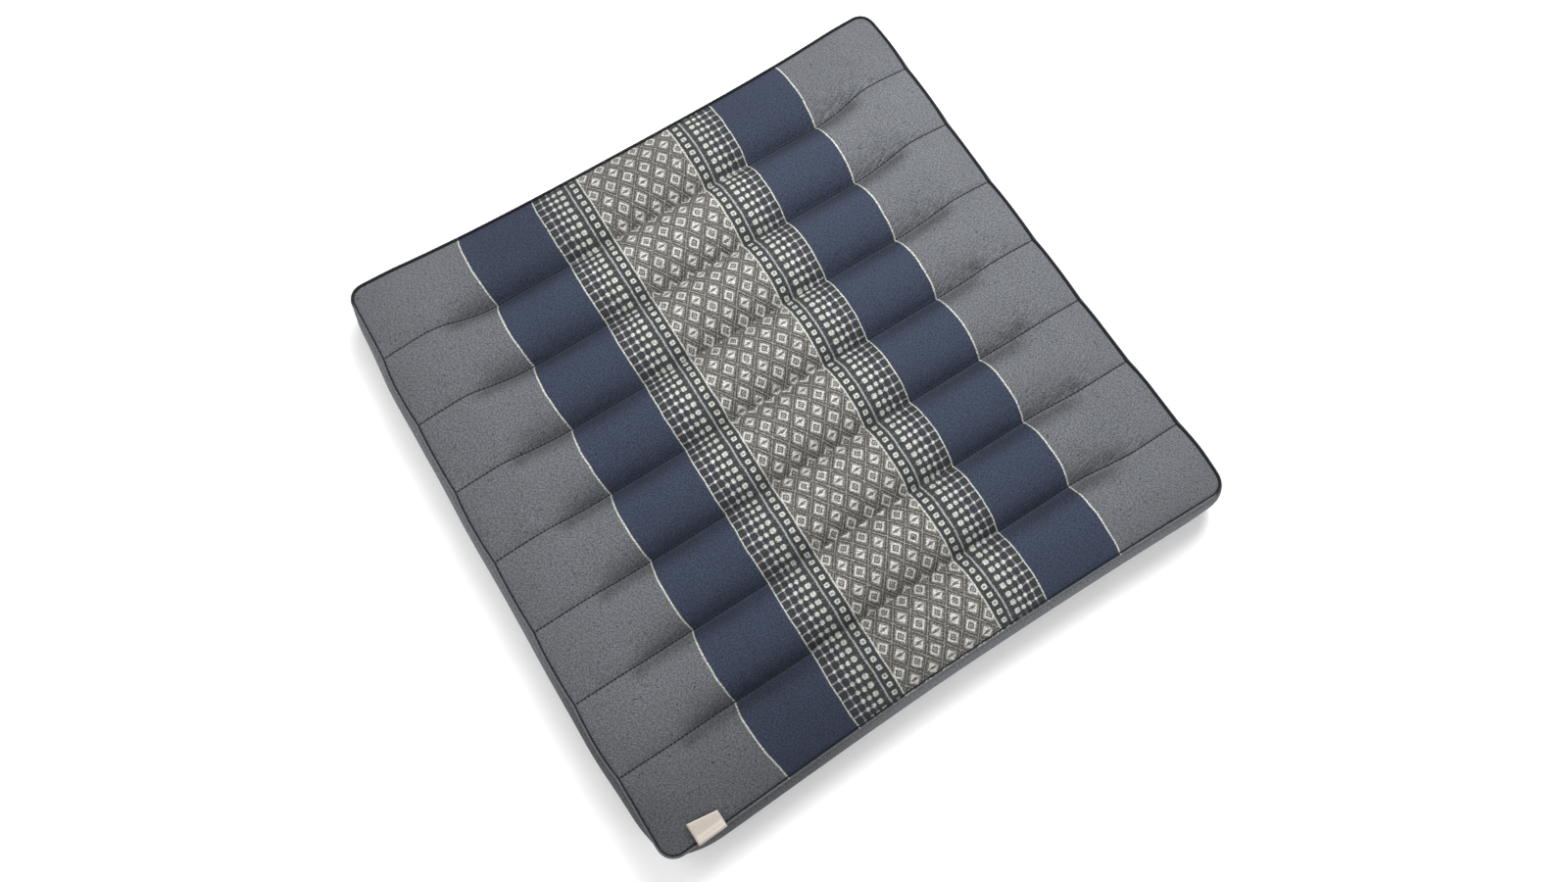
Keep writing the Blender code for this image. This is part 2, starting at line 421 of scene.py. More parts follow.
def roundCorner(x, y, reachX, reachY):
    # moves points of the square panel onto the round-cornered one, with the way out there
    radius = form["cornerRadius"]
    p = (np.abs(x) - (reachX - radius)) / radius
    q = (np.abs(y) - (reachY - radius)) / radius
    inCorner = (p > 0.0) & (q > 0.0)
    pRound = p * np.sqrt(np.maximum(1.0 - q * q / 2.0, 0.0))
    qRound = q * np.sqrt(np.maximum(1.0 - p * p / 2.0, 0.0))
    onSide = p > 0.999
    outX = np.where(inCorner, signOf(x) * pRound, np.where(onSide, signOf(x), 0.0))
    outY = np.where(inCorner, signOf(y) * qRound, np.where(onSide, 0.0, signOf(y)))
    newX = np.where(inCorner, signOf(x) * (reachX - radius * (1.0 - pRound)), x)
    newY = np.where(inCorner, signOf(y) * (reachY - radius * (1.0 - qRound)), y)
    return newX, newY, outX, outY


# The cover: one closed skin, quilted, boxed and filled

cover = {
    "columns": 84,
    "rowsPerChannel": 13,
    "columnCrowding": 0.4,
    "rowCrowding": 0.5,
    # the hem from the panel's rim outwards: share of its width, rise
    "hem": ((0.20, -0.0009), (0.36, 0.0009), (0.64, 0.0013), (0.95, 0.0006), (1.0, -0.0005),
            (0.76, -0.0013)),
    "notch": 0.0007,         # the needle line sinks in
    "boxLevels": (0.93, 0.84, 0.70, 0.50, 0.30, 0.16, 0.07),
    "slackShare": 0.86,      # relief before the filling is blown in
    "frames": 16,
    "cap": 0.006,            # furthest that a point may move
    "seamCrease": 0.85,
    "tucks": (5.83, 6.08, 6.27, 7.44, 9.31, 6.99, 4.16),    # cloth taken up by each seam, mm, front first
    "stripeMiddle": -0.0016,
    "stripeWaist": (0.017, 0.006),    # the stripes are drawn in by this share at the seams, left and right
    "nearSkew": (0.0055, (-0.185, -0.06), (-0.084, -0.066)),    # the left stripes lean in near the front
    "sink": 0.0048,          # how much deeper the quilting seams are drawn in, away from the sides
    "sinkWidth": 0.0085,
    "bandSink": 0.95,        # a share of that in the stiffer woven band
    "bandEdge": (0.094, -0.02),
    "grooveEnd": (0.194, 0.192),      # where the deep part of each seam begins, left and right
    "grooveUneven": 0.006,
    "grooveFade": (-0.022, 0.026),
    "grooveLost": 0.9,
    "grooveStop": (0.240, -0.02),
    "needleWidth": 0.00135,
}
dimple = {   # the small pinch where the deep part of a seam begins
    "depth": 0.0018,
    "beside": (0.0048, -0.0045),
    "inward": 0.006,
    "length": 0.0075,
    "width": 0.0048,
}
paintedSeamShade = {   # painted shade beside a quilting seam, at some places across the cushion; a negative depth paints light instead
    "places": (-0.185, -0.120, -0.060, 0.060, 0.120, 0.180),
    "nearDepth": (0.35, 0.46, 0.20, 0.20, 0.50, 0.47),
    "nearPlace": (-0.0025, -0.0035, -0.0035, -0.0035, -0.0038, -0.0040),
    "nearWidth": (0.0060, 0.0078, 0.0080, 0.0080, 0.0080, 0.0078),
    "nearRise": 0.0032,
    "farDepth": (0.26, 0.27, 0.06, 0.06, 0.18, -0.20),
    "farWidth": (0.0115, 0.0125, 0.0100, 0.0100, 0.0100, 0.0060),
    "farRise": 0.0015,
    "dimple": 0.30,
}
paintedShade = {   # painted shade, darker towards the near left and the far edge of the top and the near left of the boxing: share, then start and length along y and across x
    "far": (0.15, (0.165, 0.05), (-0.17, 0.05)),
    "near": (0.26, (-0.13, -0.09), (0.04, -0.14)),
    "wall": (0.45, (-0.06, -0.08), (-0.02, -0.12)),
}
pleating = {   # fine pleats beside the seams, most of them on the right, in bump and in painted shade
    "reach": (0.013, 0.006),     # beyond a seam, and on its near side
    "nearShare": 0.5,
    "least": 0.15,
    "rightFrom": 0.140,
    "rightEnd": (0.205, 0.02),
    "leftShare": 0.35,
}

# level, share of the hem's width and rise of each ring of points, from the top panel down
rings = [(1.0, out, rise) for out, rise in cover["hem"]]
rings += [(level, form["boxStart"], 0.0) for level in cover["boxLevels"]]
rings += [(0.0, out, -rise) for out, rise in reversed(cover["hem"])]
lastRing = len(rings) + 1    # the panel underneath


def panelPlace(u, v, inset):
    crowd = cover["columnCrowding"]
    xShare = u * (1.0 - crowd) + crowd * np.sin(u * math.pi / 2)
    place = np.minimum(np.abs(v) * half, half)
    channel = np.minimum(place.astype(int), half - 1)
    step = place - channel
    step = step * (1.0 - cover["rowCrowding"]) + cover["rowCrowding"] * (1.0 - np.cos(step * math.pi)) / 2
    reachY = endReach(xShare * form["halfSide"], v) - inset
    y = np.where(channel == half - 1, lastSeam + step * (reachY - lastSeam), (channel + step) * form["pitch"])
    y = np.copysign(y, v)
    reachX = sideReach(y, u) - inset
    return roundCorner(xShare * reachX, y, reachX, reachY)


def coverPlace(u, v, ring, slack):
    x, y, outX, outY = panelPlace(u, v, form["hemWidth"])
    high = topHeight(x, y)
    low = bottomHeight(x, y)
    if slack:
        sunk = (1.0 - cover["slackShare"]) * channelArch(x, y)
        high = high - sunk * (high - form["topSeam"])
        low = low + sunk * np.maximum(form["bottomSeam"] - low, 0.0)
    level = np.ones_like(x)
    out = np.zeros_like(x)
    rise = np.zeros_like(x)
    for number, row in enumerate(rings, start=1):
        level = np.where(ring == number, row[0], level)
        out = np.where(ring == number, row[1], out)
        rise = np.where(ring == number, row[2], rise)
    level = np.where(ring > len(rings), 0.0, level)
    away = np.hypot(form["halfSide"] - np.abs(x), form["halfSide"] - np.abs(y))
    bulge = (form["bulgeSides"] + sidePull(y)) * outX ** 2 + form["bulgeEnds"] * outY ** 2
    bulge = bulge * (1.0 - cornerValue(x, y, 2) * np.exp(-(away / form["pinchReach"]) ** 2))
    swell = bulge * np.sin(np.clip(level, 0.0, 1.0) * math.pi).clip(0.0) ** form["archPower"]
    reach = form["hemWidth"] * out + np.where((level > 0.0) & (level < 1.0), swell, 0.0)
    return np.stack([
        x + outX * reach - form["middle"][0],
        y + outY * reach + seamDrift(x, y) - form["middle"][1],
        low + (high - low) * level + rise,
    ], axis=-1)


def vertsOf(result):
    return [item for item in result["geom"] if isinstance(item, bmesh.types.BMVert)]


def coverCage():
    bm = bmesh.new()
    flat = bm.verts.layers.float_vector.new("flat")
    ring = bm.verts.layers.float.new("ring")
    crease = bm.edges.layers.float.new("crease_edge")
    rows = form["channels"] * cover["rowsPerChannel"]
    bmesh.ops.create_grid(bm, x_segments=cover["columns"], y_segments=rows, size=1.0)
    rim = [edge for edge in bm.edges if edge.is_boundary]
    for vert in bm.verts:
        vert[flat] = vert.co
    for edge in bm.edges:   # the quilting seams stay sharp valleys
        first, second = (vert[flat] for vert in edge.verts)
        onSeam = abs(first.y - second.y) < 1e-5 and abs(first.y * half - round(first.y * half)) < 1e-4
        if onSeam and abs(first.y) < 0.99:
            edge[crease] = cover["seamCrease"]
    lower = bmesh.ops.duplicate(bm, geom=bm.verts[:] + bm.edges[:] + bm.faces[:])
    lowerFaces = [item for item in lower["geom"] if isinstance(item, bmesh.types.BMFace)]
    bmesh.ops.reverse_faces(bm, faces=lowerFaces)
    for vert in vertsOf(lower):
        vert[ring] = lastRing
    for face in lowerFaces:
        face.material_index = 1
    lowerRim = [edge for edge in bm.edges if edge.is_boundary and edge.verts[0][ring] == lastRing]
    panels = set(bm.faces)
    for number in range(1, lastRing):
        wall = bmesh.ops.extrude_edge_only(bm, edges=rim)
        rim = [item for item in wall["geom"] if isinstance(item, bmesh.types.BMEdge)]
        for vert in vertsOf(wall):
            vert[ring] = number
    for vert in bm.verts:
        vert.co.z = -vert[ring]
    bmesh.ops.bridge_loops(bm, edges=rim + lowerRim)
    for face in bm.faces:
        if face not in panels:
            face.material_index = 1
    bmesh.ops.recalc_face_normals(bm, faces=bm.faces[:])
    return meshFrom(bm, "coverCage")


def readAttribute(mesh, name, size):
    values = np.zeros(len(mesh.vertices) * size, np.float32)
    mesh.attributes[name].data.foreach_get("vector" if size == 3 else "value", values)
    return values.reshape(-1, size).astype(float) if size > 1 else values.astype(float)


def keepValues(mesh, name, values):
    mesh.attributes.new(name, "FLOAT", "POINT").data.foreach_set("value", values.astype(np.float32))


def readPoints(mesh):
    points = np.zeros(len(mesh.vertices) * 3, np.float32)
    mesh.vertices.foreach_get("co", points)
    return points.reshape(-1, 3).astype(float)


def writePoints(mesh, points):
    mesh.vertices.foreach_set("co", points.astype(np.float32).ravel())
    mesh.update()


filling = {
    "quality": 6,
    "mass": 0.3,
    "tension_stiffness": 15.0,
    "compression_stiffness": 15.0,
    "shear_stiffness": 5.0,
    "bending_stiffness": 0.5,
    "vertex_group_mass": "held",
    "use_pressure": True,
    "uniform_pressure_force": 4.0,
}


def fillCushion(mesh, held):
    # blows the slack cover up with cloth pressure between its sewn lines
    body = addObject("filling", mesh.copy())
    group = body.vertex_groups.new(name="held")
    group.add([int(i) for i in np.nonzero(held)[0]], 1.0, "REPLACE")
    cloth = body.modifiers.new("cloth", "CLOTH")
    for name, value in filling.items():
        setattr(cloth.settings, name, value)
    cloth.settings.effector_weights.gravity = 0.0
    cloth.collision_settings.use_collision = False
    for number in range(1, cover["frames"] + 1):
        scene.frame_set(number)
    filled = body.evaluated_get(bpy.context.evaluated_depsgraph_get())
    points = readPoints(filled.data)
    scene.frame_set(1)
    bpy.data.objects.remove(body, do_unlink=True)
    return points


def clothLength():
    # length of cloth along the middle of the panel, from the middle seam to each y
    y = np.linspace(-form["halfSide"], form["halfSide"], 4001)
    steps = np.hypot(np.diff(y), np.diff(topHeight(np.zeros_like(y), y)))
    run = np.concatenate([[0.0], np.cumsum(steps)])
    return y, run - np.interp(0.0, y, run)


def mapCloth(mesh):
    # lays the cloth out flat: the woven panel by its own threads, the rest by the side they are on
    flat = readAttribute(mesh, "flat", 3)
    ring = readAttribute(mesh, "ring", 1)
    x, y, outX, outY = panelPlace(flat[:, 0], flat[:, 1], form["hemWidth"])
    levels = np.arange(lastRing + 1)
    side = coverPlace(np.ones(lastRing + 1), np.full(lastRing + 1, 0.1), levels, False)
    down = np.concatenate([[0.0], np.cumsum(np.linalg.norm(np.diff(side, axis=0), axis=1))])
    depth = np.interp(ring, levels, down)
    x = x + outX * np.where(ring < 5, depth, 0.0)
    y = y + outY * np.where(ring < 5, depth, 0.0)

    faces = len(mesh.polygons)
    corners = np.zeros(len(mesh.loops), int)
    mesh.loops.foreach_get("vertex_index", corners)
    sizes = np.zeros(faces, int)
    mesh.polygons.foreach_get("loop_total", sizes)
    owner = np.repeat(np.arange(faces), sizes)
    middle = np.stack([np.bincount(owner, flat[corners, axis]) / sizes for axis in (0, 1)])
    firsts = np.concatenate([[0], np.cumsum(sizes)[:-1]])
    highest = np.maximum.reduceat(ring[corners], firsts)
    lowest = np.minimum.reduceat(ring[corners], firsts)

    # the striped top
    alongY, alongRun = clothLength()
    channel = np.clip(np.floor(middle[1] * half).astype(int) + half, 0, form["channels"] - 1)
    tucked = np.concatenate([[0.0], np.cumsum(cover["tucks"])]) * mm
    tucked = tucked - tucked[half]
    waist = np.where(x < 0.0, *cover["stripeWaist"]) * (1.0 - channelArch(x, y))
    across = (x - form["middle"][0] - cover["stripeMiddle"]) / (1.0 - waist)
    skew, placeY, placeX = cover["nearSkew"]
    across = across - skew * past(y, *placeY) * past(x, *placeX)
    along = np.interp(y, alongY, alongRun)
    u = across[corners]
    v = along[corners] + tucked[channel][owner]

    # the boxing, and the panel underneath
    onEnd = (np.abs(middle[1]) > np.abs(middle[0]))[owner]
    wall = (highest > 3.01)[owner]
    under = (lowest > lastRing - 0.01)[owner]
    u = np.where(wall, np.where(onEnd, x[corners], y[corners]), u)
    v = np.where(wall, depth[corners], v)
    u = np.where(under, x[corners], u)
    v = np.where(under, y[corners], v)
    layer = mesh.uv_layers.new(name="clothMap")
    layer.data.foreach_set("uv", np.stack([u, v], axis=1).astype(np.float32).ravel())

    # what the finishes read at each point
    onTop = ring < 0.5
    seam, away = nearestSeam(y)
    # painted shade beside the quilting seams, which darkens the top cloth's colour
    keepValues(mesh, "seamShade", np.where(onTop, paintedSeamShadeShare(x, y), 0.0))
    keepValues(mesh, "needleLine", np.clip(1.0 - np.abs(away) / cover["needleWidth"], 0.0, 1.0) * onTop)
    rim = sideReach(seam * form["pitch"], -np.ones_like(x)) - form["hemWidth"]
    keepValues(mesh, "seamRun", (x + rim) / mm)    # along the seam from the left rim
    beyond, before = pleating["reach"]
    pleats = np.where(away > 0.0, np.exp(-away / beyond), pleating["nearShare"] * np.exp(away / before))
    right = 1.0 - past(x, *pleating["rightEnd"])
    pleats = pleating["least"] + pleats * np.where(x > pleating["rightFrom"], right, pleating["leftShare"])
    keepValues(mesh, "pleatShare", np.where(onTop, pleats, 0.0))
    # painted shade towards the near left and along the far edge, on the top and on the boxing
    top = 1.0 - paintedShadeShare(x, y, "far") - paintedShadeShare(x, y, "near")
    keepValues(mesh, "paintedShade", np.where(ring < 3.01, top, 1.0 - paintedShadeShare(x, y, "wall")))
    kinds = np.where(highest > 3.01, 1, 0)
    mesh.polygons.foreach_set("material_index", kinds.astype(np.int32))


def wander(place, wavelength, seed):
    # smooth seeded unevenness along one line, about -1 to 1
    knots = np.random.default_rng(seed).uniform(-1.0, 1.0, 512)
    spot = place / wavelength + 256.0
    near = np.floor(spot).astype(int)
    return knots[near % 512] + (knots[(near + 1) % 512] - knots[near % 512]) * smoothStep(spot - near)


gathers = {
    "wavelength": 0.0085,
    "height": 0.0007,
    "reach": 0.013,
    "foot": 0.22,            # how soon they rise beside the seam, as a share of their reach
    "lean": 0.5,
    "leftShare": 0.6,
    "rightMore": 0.8,
    "lumps": 0.0006,
}


def pucker(mesh):
    # small gathers beside the quilting seams and unevenness in the filling
    flat = readAttribute(mesh, "flat", 3)
    ring = readAttribute(mesh, "ring", 1)
    points = readPoints(mesh)
    x, y, outX, outY = panelPlace(flat[:, 0], flat[:, 1], form["hemWidth"])
    seam, away = nearestSeam(y)
    edge = np.minimum(form["halfSide"] - np.abs(x), form["halfSide"] - np.abs(y))
    inside = smoothStep(edge / 0.02)
    lift = np.zeros(len(points))
    for number in range(1 - half, half):
        for side in (-1, 1):
            here = (seam == number) & (signOf(away) == side)
            lean = x + away * gathers["lean"]
            seed = number * 2 + side
            wave = wander(lean, gathers["wavelength"], 40 + seed)
            wave = wave + 0.6 * wander(lean, gathers["wavelength"] * 0.43, 90 + seed)
            some = 0.5 + 0.5 * wander(x, 0.05, 140 + seed)
            reach = np.abs(away) / gathers["reach"]
            envelope = (1.0 - np.exp(-(reach / gathers["foot"]) ** 2)) * np.exp(-reach ** 2)
            lift = np.where(here, wave * some * envelope * gathers["height"], lift)
    lift = lift * (gathers["leftShare"] + gathers["rightMore"] * past(x, 0.14, 0.03))
    lumps = wander(x + 0.4 * y, 0.045, 7) * wander(y - 0.3 * x, 0.030, 8)
    lumps = lumps + 0.5 * wander(x - 0.7 * y, 0.021, 9) * wander(y + 0.6 * x, 0.017, 10)
    lift = lift + lumps * gathers["lumps"] * channelArch(x, y)
    lift = np.where(ring < 0.5, lift, np.where(ring > lastRing - 0.5, -lift * 0.4, 0.0))
    points[:, 2] = np.clip(points[:, 2] + lift * inside, 0.0, form["thickness"])
    writePoints(mesh, points)


def grooveEnd(x, seam):
    # the deep part of a seam begins a little unevenly
    return np.where(x < 0.0, *cover["grooveEnd"]) + cover["grooveUneven"] * wander(seam * 1.0, 1.0, 21)


def deepShare(x, seam):
    # 1 where a seam is deep, little outside
    start, length = cover["grooveFade"]
    inner = 1.0 - cover["grooveLost"] * past(np.abs(x) - grooveEnd(x, seam), start, length)
    return inner * past(np.abs(x), *cover["grooveStop"])


def seamShare(x, y, width, power):
    # 1 on a quilting seam, 0 away from it
    seam, away = nearestSeam(y)
    return np.exp(-(np.abs(away) / width) ** power) * deepShare(x, seam)


def paintedSeamShadeShare(x, y):
    # painted shade beside a seam, more on its near side; a negative depth paints light, and the dimples get
    # painted shade too
    seam, away = nearestSeam(y)
    here = {}
    for name in ("nearDepth", "nearPlace", "nearWidth", "farDepth", "farWidth"):
        here[name] = np.interp(x, paintedSeamShade["places"], paintedSeamShade[name])
    gap = away - here["nearPlace"]
    near = here["nearDepth"] * np.exp(-(gap / np.where(gap < 0.0, here["nearWidth"], paintedSeamShade["nearRise"])) ** 2)
    beyond = smoothStep(away / paintedSeamShade["farRise"] + 0.5)
    far = here["farDepth"] * np.exp(-(away / here["farWidth"]) ** 2) * beyond
    share = 1.0 - (1.0 - near) * (1.0 - far)
    return share * deepShare(x, seam) + paintedSeamShade["dimple"] * dimpleShare(x, y)


def paintedShadeShare(x, y, name):
    share, placeY, placeX = paintedShade[name]
    return share * past(y, *placeY) * past(x, *placeX)


def dimpleShare(x, y):
    # a small pinch where the deep part begins, on the near side of the seam, right of the middle by turns
    seam, away = nearestSeam(y)
    beside = np.where((x > 0.0) & (seam < 0.5), *dimple["beside"])
    along = (np.abs(x) - grooveEnd(x, seam) + dimple["inward"]) / dimple["length"]
    return np.exp(-along ** 2 - ((away - beside) / dimple["width"]) ** 2)


def makeCover():
    mesh = coverCage()
    flat = readAttribute(mesh, "flat", 3)
    ring = np.rint(readAttribute(mesh, "ring", 1))
    start = coverPlace(flat[:, 0], flat[:, 1], ring, True)
    writePoints(mesh, start)
    onSeam = np.abs(flat[:, 1] * half - np.rint(flat[:, 1] * half)) < 1e-4
    panel = (ring == 0) | (ring == lastRing)
    hemRings = len(cover["hem"])
    hem = (ring > 0) & ((ring <= hemRings) | (ring >= lastRing - hemRings)) & (ring < lastRing)
    rim = (np.abs(flat[:, 0]) > 0.999) | (np.abs(flat[:, 1]) > 0.999)
    held = (panel & onSeam) | hem | (panel & rim)
    points = fillCushion(mesh, held)
    move = points - start
    print("filled, most moved", np.abs(move).max(0).round(4), "ridge", points[:, 2].max().round(4))
    length = np.linalg.norm(move, axis=1, keepdims=True)
    points = start + move * np.minimum(1.0, cover["cap"] / np.maximum(length, 1e-9))
    x, y = points[:, 0], start[:, 1] - seamDrift(start[:, 0], start[:, 1]) + form["middle"][1]
    sink = cover["sink"] * seamShare(x, y, cover["sinkWidth"], 1.3)
    sink = sink * (1.0 - (1.0 - cover["bandSink"]) * past(np.abs(x), *cover["bandEdge"]))
    sink = sink + dimple["depth"] * dimpleShare(x, y)
    sink = sink + np.where(onSeam & ~rim, cover["notch"], 0.0)
    points[:, 2] += np.where(ring == 0, -sink, np.where(ring == lastRing, 0.6 * sink, 0.0))
    points[:, 2] = np.maximum(points[:, 2], 0.0)
    writePoints(mesh, points)

    body = addObject("cushionCage", mesh)
    smooth = body.modifiers.new("smooth", "SUBSURF")
    smooth.levels = 1
    smooth.render_levels = 1
    fine = bpy.data.meshes.new_from_object(body.evaluated_get(bpy.context.evaluated_depsgraph_get()))
    bpy.data.objects.remove(body, do_unlink=True)
    fine.name = "cushionCover"
    pucker(fine)
    mapCloth(fine)
    fine.shade_smooth()
    return fine


# Cloth finishes

twill = {   # millimetres
    "pitch": 0.95,
    "slant": (0.82, 0.57),
    "shake": 0.55,               # how unevenly the lines run, in pitches
    "rib": 0.3,
    "knot": 0.18,
    "fibres": ((0.68, 0.94, 1.0), 0.75),
    "fleck": (0.36, 0.64),
    "dyeScale": 0.8,
    "pleatTurn": -0.42,
    "pleatStretch": (0.15, 0.85, 1.0),
    "pleatScale": 0.75,
}


def makeGrain():
    # twill lines, single fibres, soft clouding and fine pleats
    tree, entry = openGroup("clothGrain", {"Cloth": "Vector", "Pitch": "Float"})
    cloth, pitch = entry["Cloth"], entry["Pitch"]
    x, y = parted(cloth)[:2]
    steep, flat = twill["slant"]
    slope = (x * steep - y * flat) / pitch + noiseOf(cloth, 1.7, 1.0) * twill["shake"]
    rib = calc("SINE", slope * (2 * math.pi))
    step = (x * flat + y * steep) / pitch + slope * 0.5
    knot = calc("SINE", step * (2 * math.pi))
    height = rib * twill["rib"] + knot * twill["knot"] + 0.5
    fibres = turned(cloth, *twill["fibres"])
    fleck = spread(noiseOf(fibres, 1.0, 1.0), *twill["fleck"])
    slanted = turned(turned(cloth, (1.0, 1.0, 1.0), twill["pleatTurn"]), twill["pleatStretch"], 0.0)
    return closeGroup(tree, {
        "Shade": height,
        "Fleck": fleck,
        "Dyes": noiseOf(fibres, twill["dyeScale"], 1.0, output="Color"),
        "Cloud": spread(noiseOf(cloth, 0.045, 3.0, 0.55), 0.3, 0.7),
        "Pleat": spread(noiseOf(slanted, twill["pleatScale"], 1.0), 0.34, 0.66),
        "Height": height + fleck * 0.5,
    })


stripes = {   # millimetres on the cloth, from the middle of the stripes
    "thread": 0.42,
    "loose": 1.6,                # how far the threads wander, slowly and from one to the next
    "tight": 0.9,
    "sideLine": (148.6, 149.9),
    "navyLine": (82.7, 83.7),
    # place, width, length and share of the line under them
    "beads": ((76.6, 2.1, 2.2, 0.325), (70.4, 2.7, 3.1, 0.25), (65.3, 3.0, 3.4, 0.15),
              (59.8, 4.1, 3.9, 0.05)),
    "beadHole": (1.4, 1.3),      # in the widest beads
    "mossEdge": (66.5, 3.0),
    "crossFade": (56.0, 80.0, 0.15, 0.85),    # the lines across grow brighter outwards
    "greyLine": (52.6, 54.0),
    "square": (47.9, 4.0, 3.9),
    "squareHole": (1.5, 1.4),
    "bandLine": (42.0, 43.1),
    "rowPitch": 7.12,
    "rowStart": -2.75,
    "diamond": (15.75, 21.32),
    "diamondStart": (0.9, 3.16),
    "split": (8.4, 10.0),
    "lens": (8.4, 2.6),
    "rings": ((9.5, 11.0), (5.9, 7.0), (3.3, 3.9), (1.9, 2.1)),    # the ringed diamond, outside first
    "lineSlope": 6.33,           # millimetres off the lattice, for one unit of its sum
    "cream": "#aaaaa2",
    "bead": "#bdbdb6",
    "dimCream": "#8a8a86",
    "navy": "#2a3140",
    "ink": "#10141c",
    "moss": "#1c2021",
    "mist": "#8a8c8e",
    "ash": "#9a9c9b",
    "figure": "#b0b0ab",
    "sand": "#83817d",
    "stone": "#292826",
    "soot": "#1c1c1b",
    "grey": "#54565a",
}


def roundSpot(dx, dy, wide, high):
    # 1 inside a round-cornered square
    return below((abs(dx) * (2 / wide)) ** 5.0 + (abs(dy) * (2 / high)) ** 5.0, 1.0, 0.45)


def latticeSum(dx, dy, wide, high):
    return abs(dx) * (2 / wide) + abs(dy) * (2 / high)


def diamondSpot(place, size):
    return below(latticeSum(*place, *size), 1.0, 0.09)


def folded(value, period, start):
    # distance to the nearest of the places that repeat at each period
    turns = (value - start) / period
    return (turns - calc("ROUND", turns)) * period


def makeStripes():
    # the woven panel: sand band of diamonds, beaded borders, navy and grey to the sides
    tree, entry = openGroup("wovenStripes", {"Cloth": "Vector", "Seam": "Float", "NeedlePaintedShade": "Float"})
    cloth = entry["Cloth"]
    slow = parted(noiseOf(cloth, 0.06, 1.0, output="Color"), "Color")
    quick = parted(noiseOf(cloth, 1.3, 1.0, output="Color"), "Color")

    def placed(place, loose, tight):
        moved = place + (loose - 0.5) * stripes["loose"] + (tight - 0.5) * stripes["tight"]
        return (calc("FLOOR", moved / stripes["thread"]) + 0.5) * stripes["thread"]

    def colour(name):
        return colourOf(stripes[name])

    x, y = [placed(*parts) for parts in zip(parted(cloth)[:2], slow, quick)]
    out = abs(x)
    dotted = spread(noiseOf(cloth, 1.9, 1.0), 0.35, 0.65)

    # beaded border
    rowGap = folded(y, stripes["rowPitch"], stripes["rowStart"])
    border = mixColour(below(out, *stripes["mossEdge"]), colour("ink"), colour("moss"))
    border = mixColour(dotted * 0.16, border, colour("mist"))
    for place, wide, high, share in stripes["beads"]:
        line = below(abs(out - place), 0.5, 0.3) * (dotted * share + share)
        border = mixColour(line, border, colour("mist"))
    fade = spread(out, *stripes["crossFade"]) * (dotted * 0.5 + 0.6)
    border = mixColour(below(abs(rowGap), 0.55, 0.25) * fade, border, colour("dimCream"))
    beads = 0.0
    for place, wide, high, share in stripes["beads"]:
        beads = calc("MAXIMUM", beads, roundSpot(out - place, rowGap, wide, high))
        if wide > 4.0:
            beads = beads - roundSpot(out - place, rowGap, *stripes["beadHole"]) * 0.35
    beads = beads * (dotted * 0.25 + 0.60)
    border = mixColour(beads, border, colour("bead"))

    # strip of ring squares
    place, wide, high = stripes["square"]
    hole = roundSpot(out - place, rowGap, *stripes["squareHole"])
    squares = (roundSpot(out - place, rowGap, wide, high) - hole * 0.7) * (dotted * 0.25 + 0.62)
    strip = mixColour(dotted * 0.15, colour("moss"), colour("mist"))
    strip = mixColour(squares, strip, colour("bead"))

    # band of diamonds: a split one and a ringed one in turn
    wide, long = stripes["diamond"]
    startX, startY = stripes["diamondStart"]
    split = (folded(x, wide, startX), folded(y, long, startY))
    ringed = (folded(x, wide, startX + wide / 2), folded(y, long, startY + long / 2))
    offLine = abs(latticeSum(*split, wide, long) - 1.0) * stripes["lineSlope"]
    grit = spread(noiseOf(turned(cloth, (0.8, 1.3, 1.0), 0.9), 0.95, 3.0, 0.75), 0.37, 0.63)
    lens = diamondSpot(split, stripes["lens"])
    outer, inner, centre, dot = [diamondSpot(ringed, size) for size in stripes["rings"]]
    ring = inner * (1.0 - centre * 0.55)
    figure = diamondSpot(split, stripes["split"]) * (1.0 - lens * 0.9)
    figure = calc("MAXIMUM", figure, outer * (1.0 - ring * 0.95)) * (grit * 0.32 + 0.74)
    band = mixColour(grit, colour("stone"), colour("sand"))
    for share, name in (
            (below(abs(offLine - 1.0), 0.45, 0.25) * (dotted * 0.7 + 0.35), "soot"),
            ((grit * 0.35 + 0.05) * below(offLine, 0.3, 0.25), "cream"),
            (inner * (grit * -0.3 + 0.75), "soot"),
            (lens * 0.5, "soot"),
            (figure, "figure"),
            (dot * 0.7, "soot")):
        band = mixColour(share, band, colour(name))

    # all of them, from the sides inwards
    sideFrom, sideTo = stripes["sideLine"]
    navyFrom, navyTo = stripes["navyLine"]
    greyFrom, greyTo = stripes["greyLine"]
    bandFrom, bandTo = stripes["bandLine"]
    side = (below(out, sideTo, 0.2) - below(out, sideFrom, 0.2)) * (dotted * 0.15 + 0.85)
    misty = (below(out, greyTo, 0.4) - below(out, greyFrom, 0.4)) * (dotted * 0.5 + 0.5)
    inBand = below(out, bandFrom, 0.3)
    woven = colour("grey")
    for share, dyed in (
            (side, colour("cream")),
            (below(out, sideFrom, 0.2), colour("navy")),
            (below(out, navyTo, 0.2), colour("cream")),
            (below(out, navyFrom, 0.2), border),
            (misty, colour("ash")),
            (below(out, greyFrom, 0.2), strip),
            (below(out, bandTo, 0.3), colour("cream")),
            (inBand, band)):
        woven = mixColour(share, woven, dyed)
    line = below(out, navyTo, 0.3) * -0.7 + 0.9     # the needle line's painted shade hardly shows in the woven band
